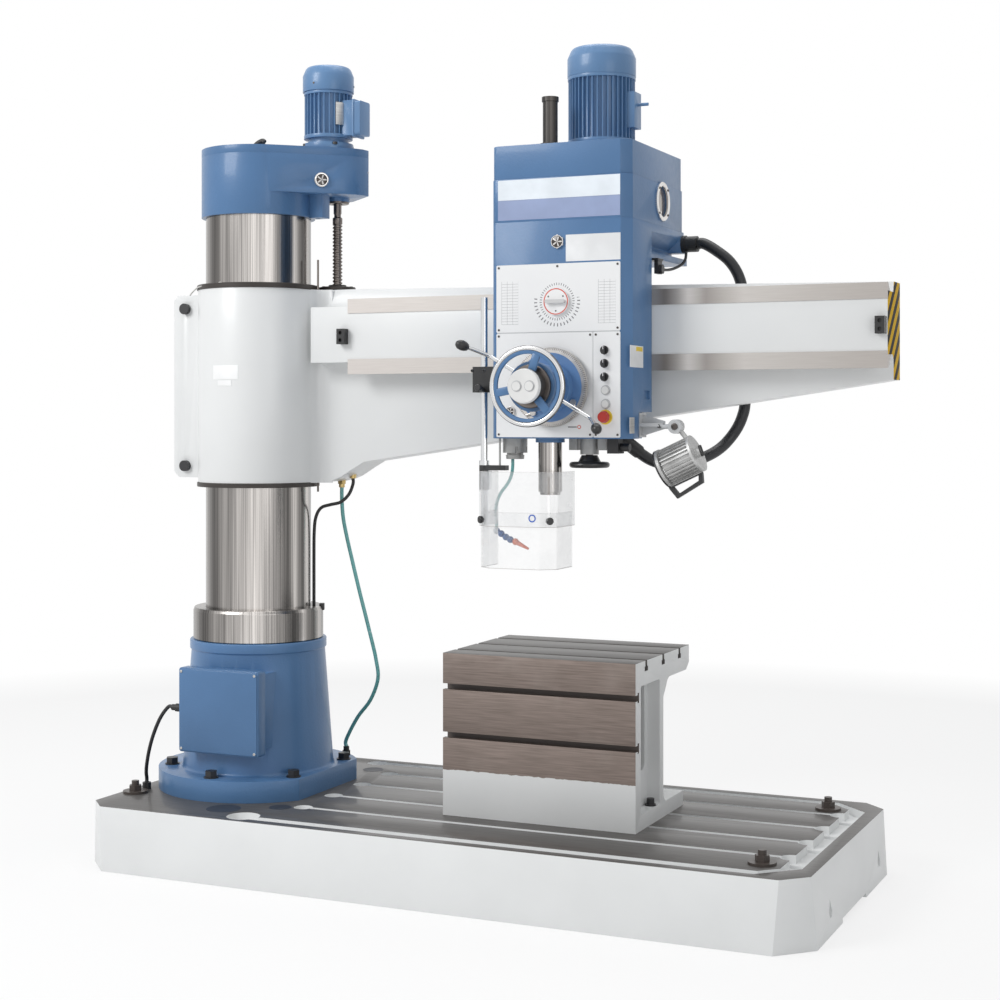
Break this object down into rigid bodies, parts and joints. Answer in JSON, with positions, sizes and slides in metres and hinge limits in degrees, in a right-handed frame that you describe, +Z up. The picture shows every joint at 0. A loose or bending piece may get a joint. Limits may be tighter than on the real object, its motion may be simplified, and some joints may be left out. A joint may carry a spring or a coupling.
{
  "type": "radial arm drilling machine",
  "caption": "Radial arm drilling machine with a T-slotted base plate, a bright swivelling column, a rising white arm, a blue travelling drill head and a box table",
  "frame": {"origin": "centre of the column axis on the floor, under the base plate", "axes": "+X along the arm from the column to its free end, -Y towards the operator, +Z up"},
  "size_m": [2.462, 1.069, 2.591],
  "materials": {
    "white_paint": "satin",
    "blue_paint": "satin",
    "bolt_dark": "satin",
    "machined_steel": "satin",
    "ground_column": "satin",
    "ground_way": "satin",
    "black_plastic": "matte",
    "black_rubber": "matte",
    "cast_table": "matte",
    "green_hose": "gloss",
    "brass_fitting": "satin",
    "panel_white": "satin",
    "grey_casting": "satin",
    "blue_plastic": "gloss",
    "chrome_rim": "gloss",
    "red_plastic": "gloss",
    "clear_plastic": "gloss"
  },
  "bodies": {
    "base": {"base_plate": "white_paint", "foundation_bolts": "bolt_dark", "column_foot": "blue_paint", "floor_bolts": "bolt_dark", "inner_column": "machined_steel", "electric_box": "blue_paint", "base_fittings": "black_plastic", "supply_cable": "black_rubber", "box_table": "cast_table", "coolant_hose_lower": "green_hose"},
    "column": {"outer_column": "ground_column", "clamping_ring": "ground_column", "column_gearbox": "blue_paint", "gearbox_lid": "blue_paint", "lifting_motor": "blue_paint", "lifting_cowl": "blue_paint", "coolant_hose_upper": "green_hose"},
    "screw": {"leadscrew": "machined_steel"},
    "arm_slide": {"arm": "white_paint", "guideways": "ground_way", "column_wipers": "bolt_dark", "sleeve_bolts": "bolt_dark", "lift_nut": "bolt_dark", "stop_blocks": "black_plastic", "arm_fittings": "brass_fitting", "arm_cable": "black_rubber", "trip_rod": "machined_steel"},
    "head": {"head_housing": "blue_paint", "gear_housing": "blue_paint", "top_cover": "blue_paint", "front_panels": "panel_white", "drill_motor": "blue_paint", "drill_motor_cowl": "blue_paint", "spindle_tube": "bolt_dark", "conduit": "black_rubber", "arm_roller": "bolt_dark", "underside_fittings": "grey_casting", "guard_clamp": "black_plastic", "lamp_bracket": "grey_casting", "coolant_nozzle": "blue_plastic", "nozzle_hose": "green_hose"},
    "quill_body": {"quill": "ground_column"},
    "spindle_body": {"spindle": "machined_steel"},
    "traverse_wheel": {"handwheel": "chrome_rim"},
    "clamp_push": {"clamp_button": "black_plastic"},
    "unclamp_push": {"unclamp_button": "black_plastic"},
    "feed_hub": {"feed_disc": "blue_paint", "feed_levers": "chrome_rim"},
    "fine_feed": {"fine_feed_wheel": "black_plastic"},
    "dial": {"speed_dial": "red_plastic"},
    "switch_1": {"drill_switch": "black_plastic"},
    "switch_2": {"lift_switch": "black_plastic"},
    "switch_3": {"coolant_switch": "black_plastic"},
    "start_push": {"start_button": "panel_white"},
    "stop_push": {"stop_button": "panel_white"},
    "emergency_push": {"emergency_stop": "red_plastic"},
    "guard_stand": {"guard_post": "chrome_rim"},
    "guard": {"chip_guard": "clear_plastic"},
    "guard_lower": {"chip_guard_extension": "clear_plastic"},
    "lamp_body": {"lamp": "grey_casting"}
  },
  "joints": [
    {"name": "column_swivel", "type": "hinge", "parent": "base", "child": "column", "pos_m": [0, 0, 0.9], "axis": [0, 0, 1], "range_deg": [-180, 180], "deforming": ["coolant_hose_lower"]},
    {"name": "arm_lift", "type": "slide", "parent": "column", "child": "arm_slide", "axis": [0, 0, 1], "range_m": [-0.27, 0.215], "deforming": ["coolant_hose_upper", "arm_cable"]},
    {"name": "screw_turn", "type": "hinge", "parent": "column", "child": "screw", "pos_m": [0.22629, 0.13597, 1.7], "axis": [0, 0, 1], "range_deg": [-8101, 6451]},
    {"name": "head_traverse", "type": "slide", "parent": "arm_slide", "child": "head", "axis": [1, 0, 0], "range_m": [-0.595, 0.655]},
    {"name": "traverse_wheel_turn", "type": "hinge", "parent": "head", "child": "traverse_wheel", "pos_m": [1.171, -0.436, 1.514], "axis": [0, 1, 0], "range_deg": [-1786, 1966]},
    {"name": "quill_feed", "type": "slide", "parent": "head", "child": "quill_body", "axis": [0, 0, -1], "range_m": [0, 0.315]},
    {"name": "feed_hub_turn", "type": "hinge", "parent": "head", "child": "feed_hub", "pos_m": [1.171, -0.345, 1.514], "axis": [0, 1, 0], "range_deg": [-1, 946]},
    {"name": "spindle_turn", "type": "hinge", "parent": "quill_body", "child": "spindle_body", "pos_m": [1.134, -0.175, 1.3], "axis": [0, 0, 1], "continuous": true},
    {"name": "fine_feed_turn", "type": "hinge", "parent": "head", "child": "fine_feed", "pos_m": [1.247, -0.14, 1.29], "axis": [0, 0, 1], "continuous": true},
    {"name": "dial_turn", "type": "hinge", "parent": "head", "child": "dial", "pos_m": [1.184, -0.253, 1.768], "axis": [0, 1, 0], "continuous": true},
    {"name": "switch_1_turn", "type": "hinge", "parent": "head", "child": "switch_1", "pos_m": [1.335, -0.251, 1.622], "axis": [0, 1, 0], "range_deg": [-45, 45]},
    {"name": "switch_2_turn", "type": "hinge", "parent": "head", "child": "switch_2", "pos_m": [1.335, -0.251, 1.583], "axis": [0, 1, 0], "range_deg": [-45, 45]},
    {"name": "switch_3_turn", "type": "hinge", "parent": "head", "child": "switch_3", "pos_m": [1.335, -0.251, 1.5435], "axis": [0, 1, 0], "range_deg": [-45, 45]},
    {"name": "start_press", "type": "slide", "parent": "head", "child": "start_push", "axis": [0, 1, 0], "range_m": [0, 0.004], "stiffness_N_per_m": 800},
    {"name": "stop_press", "type": "slide", "parent": "head", "child": "stop_push", "axis": [0, 1, 0], "range_m": [0, 0.004], "stiffness_N_per_m": 800},
    {"name": "emergency_press", "type": "slide", "parent": "head", "child": "emergency_push", "axis": [0, 1, 0], "range_m": [0, 0.005], "stiffness_N_per_m": 800},
    {"name": "clamp_press", "type": "slide", "parent": "traverse_wheel", "child": "clamp_push", "axis": [0, 1, 0], "range_m": [0, 0.004], "stiffness_N_per_m": 800},
    {"name": "unclamp_press", "type": "slide", "parent": "traverse_wheel", "child": "unclamp_push", "axis": [0, 1, 0], "range_m": [0, 0.004], "stiffness_N_per_m": 800},
    {"name": "guard_height", "type": "slide", "parent": "head", "child": "guard_stand", "axis": [0, 0, 1], "range_m": [-0.15, 0]},
    {"name": "guard_swing", "type": "hinge", "parent": "guard_stand", "child": "guard", "pos_m": [0.927, -0.2, 1.23], "axis": [0, 0, 1], "range_deg": [-100, 0]},
    {"name": "guard_lower_slide", "type": "slide", "parent": "guard", "child": "guard_lower", "axis": [0, 0, 1], "range_m": [0, 0.115]},
    {"name": "lamp_tilt", "type": "hinge", "parent": "head", "child": "lamp_body", "pos_m": [1.518, -0.13, 1.398], "axis": [0, 1, 0], "range_deg": [-20, 15]}
  ],
  "couplings": [
    {"joint": "screw_turn", "follows": "arm_lift", "rad_per_m": 523.6},
    {"joint": "traverse_wheel_turn", "follows": "head_traverse", "rad_per_m": 52.36},
    {"joint": "feed_hub_turn", "follows": "quill_feed", "rad_per_m": 52.36}
  ]
}
